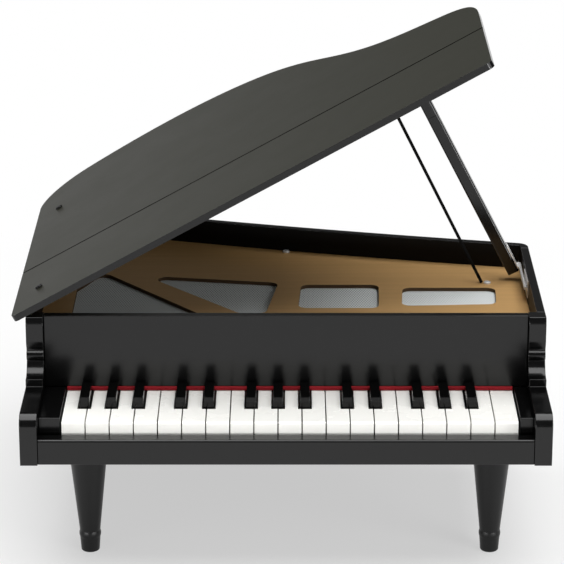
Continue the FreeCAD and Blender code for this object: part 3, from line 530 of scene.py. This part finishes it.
def buildCord():
    curve = bpy.data.curves.new("lidCordRoute", "CURVE")
    curve.dimensions = "3D"
    spline = curve.splines.new("NURBS")
    first, last = benchPoint(*cordLook["start"]), benchPoint(*cordLook["end"])
    spline.points.add(len(cordLook["stops"]) - 1)
    for point, share in zip(spline.points, cordLook["stops"]):
        point.co = (*first.lerp(last, share), 1)
    spline.order_u = cordLook["order"]
    spline.use_endpoint_u = True
    spline.resolution_u = cordLook["steps"]
    route = bpy.data.objects.new("lidCordRoute", curve)
    bpy.context.scene.collection.objects.link(route)
    path = [v.co.copy() for v in meshOf(route).vertices]  # the bare line, before it gets its thickness
    curve.bevel_depth = cordLook["diameter"] / 2000
    curve.bevel_resolution = cordLook["roundness"]
    curve.use_fill_caps = True
    bpy.context.view_layer.update()
    tube = meshOf(route)
    bpy.data.objects.remove(route)
    tube.materials.clear()
    tube.materials.append(finishes["cordBraid"])
    cord = bpy.data.objects.new("lid_cord_line", tube)
    bpy.context.scene.collection.objects.link(cord)
    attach(cord, "case")
    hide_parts("lid_cord")
    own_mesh(cord)


buildCord()
print("cord strung")


# net under the plate's windows

netLook = {"pitch": 2.2, "length": 6.4, "white": (0.87, 0.91, 0.905), "hole": (0.17, 0.178, 0.178),
           "holeFrom": 0.6, "holeTo": 1.4, "bump": 0.3, "depth": -0.0002, "roughness": 0.85,
           "across": 60, "deep": 24}


def netMaterial():
    material, tree, links, shader = startMaterial("wovenNet")
    coords = tree.new("ShaderNodeTexCoord")
    turn = 2000 * math.pi  # one full wave, for a pitch in millimetres
    waves = []
    for side in (1, -1):
        along = tree.new("ShaderNodeVectorMath")
        along.operation = "DOT_PRODUCT"
        along.inputs[1].default_value = (turn / netLook["pitch"], side * turn / netLook["length"], 0)
        links.new(coords.outputs["Object"], along.inputs[0])
        waves.append(mathNode(tree, links, "COSINE", along.outputs["Value"]))
    both = mathNode(tree, links, "ADD", *waves)
    hole = rangeNode(tree, links, both, 0.0, 1.0, netLook["holeFrom"], netLook["holeTo"])
    colour = mixColours(tree, links, hole, (*netLook["white"], 1), (*netLook["hole"], 1))
    links.new(colour, shader.inputs["Base Color"])
    bumpFrom(tree, links, hole, shader, netLook["bump"], netLook["depth"])
    shader.inputs["Roughness"].default_value = netLook["roughness"]
    return material


def buildNet():
    low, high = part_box("speaker_net")
    bm = bmesh.new()
    bmesh.ops.create_grid(bm, x_segments=netLook["across"], y_segments=netLook["deep"], size=0.5)
    bmesh.ops.scale(bm, vec=(high.x - low.x, high.y - low.y, 1), verts=bm.verts)
    bmesh.ops.translate(bm, vec=(low + high) / 2, verts=bm.verts)
    net = newPiece("speaker_net_cloth", bm, "wovenNet", "case")
    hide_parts("speaker_net")


finishes["wovenNet"] = netMaterial()
buildNet()
print("net stretched")


# floor, backdrop and light

stageLook = {"floor": (0.86, 0.86, 0.855), "roughness": 0.8, "specular": 0.2, "reach": 14.0,
             "world": 0.1, "nearShare": 0.53, "clearFrom": 0.2, "clearTo": 0.75}
lampLooks = {
    "overheadSoft": {"place": (150, 20, 2000), "aim": (150, 20, 0),
                     "wide": 2.4, "deep": 2.2, "watts": 65.0},
    "rightFrontSoft": {"place": (1900, -1400, 1150), "aim": (0, 60, 150),
                       "wide": 1.2, "deep": 1.2, "watts": 10.0},
    "lowLeftSoft": {"place": (-1700, -1900, 160), "aim": (0, 0, 140),
                    "wide": 1.8, "deep": 0.3, "watts": 27.0},
    "lowRightSoft": {"place": (1700, -1900, 160), "aim": (0, 0, 140),
                     "wide": 1.8, "deep": 0.3, "watts": 27.0},
    "lowBackSoft": {"place": (-1500, 3200, 360), "aim": (0, 200, 250),
                    "wide": 3.6, "deep": 0.6, "watts": 3.4},
}


# the floor fades to plain white away from the object, for rays that look straight at it or mirror it
def paleFloorMaterial():
    material, tree, links, shader = startMaterial("paleFloor")
    shader.inputs["Base Color"].default_value = (*stageLook["floor"], 1)
    shader.inputs["Roughness"].default_value = stageLook["roughness"]
    shader.inputs["Specular IOR Level"].default_value = stageLook["specular"]
    coords = tree.new("ShaderNodeTexCoord")
    span = tree.new("ShaderNodeVectorMath")
    span.operation = "LENGTH"
    links.new(coords.outputs["Object"], span.inputs[0])
    fade = rangeNode(tree, links, span.outputs["Value"], stageLook["nearShare"], 1.0,
                     stageLook["clearFrom"], stageLook["clearTo"])
    path = tree.new("ShaderNodeLightPath")
    seen = path.outputs["Is Camera Ray"]
    for ray in ("Is Glossy Ray", "Is Transmission Ray"):
        seen = mathNode(tree, links, "MAXIMUM", seen, path.outputs[ray])
    white = tree.new("ShaderNodeEmission")
    white.inputs["Color"].default_value = (1, 1, 1, 1)
    mix = tree.new("ShaderNodeMixShader")
    links.new(mathNode(tree, links, "MULTIPLY", fade, seen), mix.inputs[0])
    links.new(shader.outputs[0], mix.inputs[1])
    links.new(white.outputs[0], mix.inputs[2])
    links.new(mix.outputs[0], tree["Material Output"].inputs["Surface"])
    return material


def buildStage():
    bm = bmesh.new()
    bmesh.ops.create_grid(bm, x_segments=1, y_segments=1, size=stageLook["reach"])
    mesh = bpy.data.meshes.new("studioFloor")
    bm.to_mesh(mesh)
    bm.free()
    floor = bpy.data.objects.new("studioFloor", mesh)
    bpy.context.scene.collection.objects.link(floor)
    mesh.materials.append(paleFloorMaterial())
    world = bpy.data.worlds.new("studioWorld")
    bpy.context.scene.world = world
    world.use_nodes = True
    background = world.node_tree.nodes["Background"]
    background.inputs["Color"].default_value = (1, 1, 1, 1)
    background.inputs["Strength"].default_value = stageLook["world"]


def buildLamps():
    for name, look in lampLooks.items():
        data = bpy.data.lights.new(name, "AREA")
        data.shape = "RECTANGLE"
        data.size, data.size_y = look["wide"], look["deep"]
        data.energy = look["watts"]
        lamp = bpy.data.objects.new(name, data)
        lamp.location = benchPoint(*look["place"])
        sight = benchPoint(*look["aim"]) - lamp.location
        lamp.rotation_euler = sight.to_track_quat("-Z", "Y").to_euler()
        bpy.context.scene.collection.objects.link(lamp)


buildStage()
buildLamps()
bpy.context.scene.view_settings.view_transform = "Standard"
print("stage and lamps set")
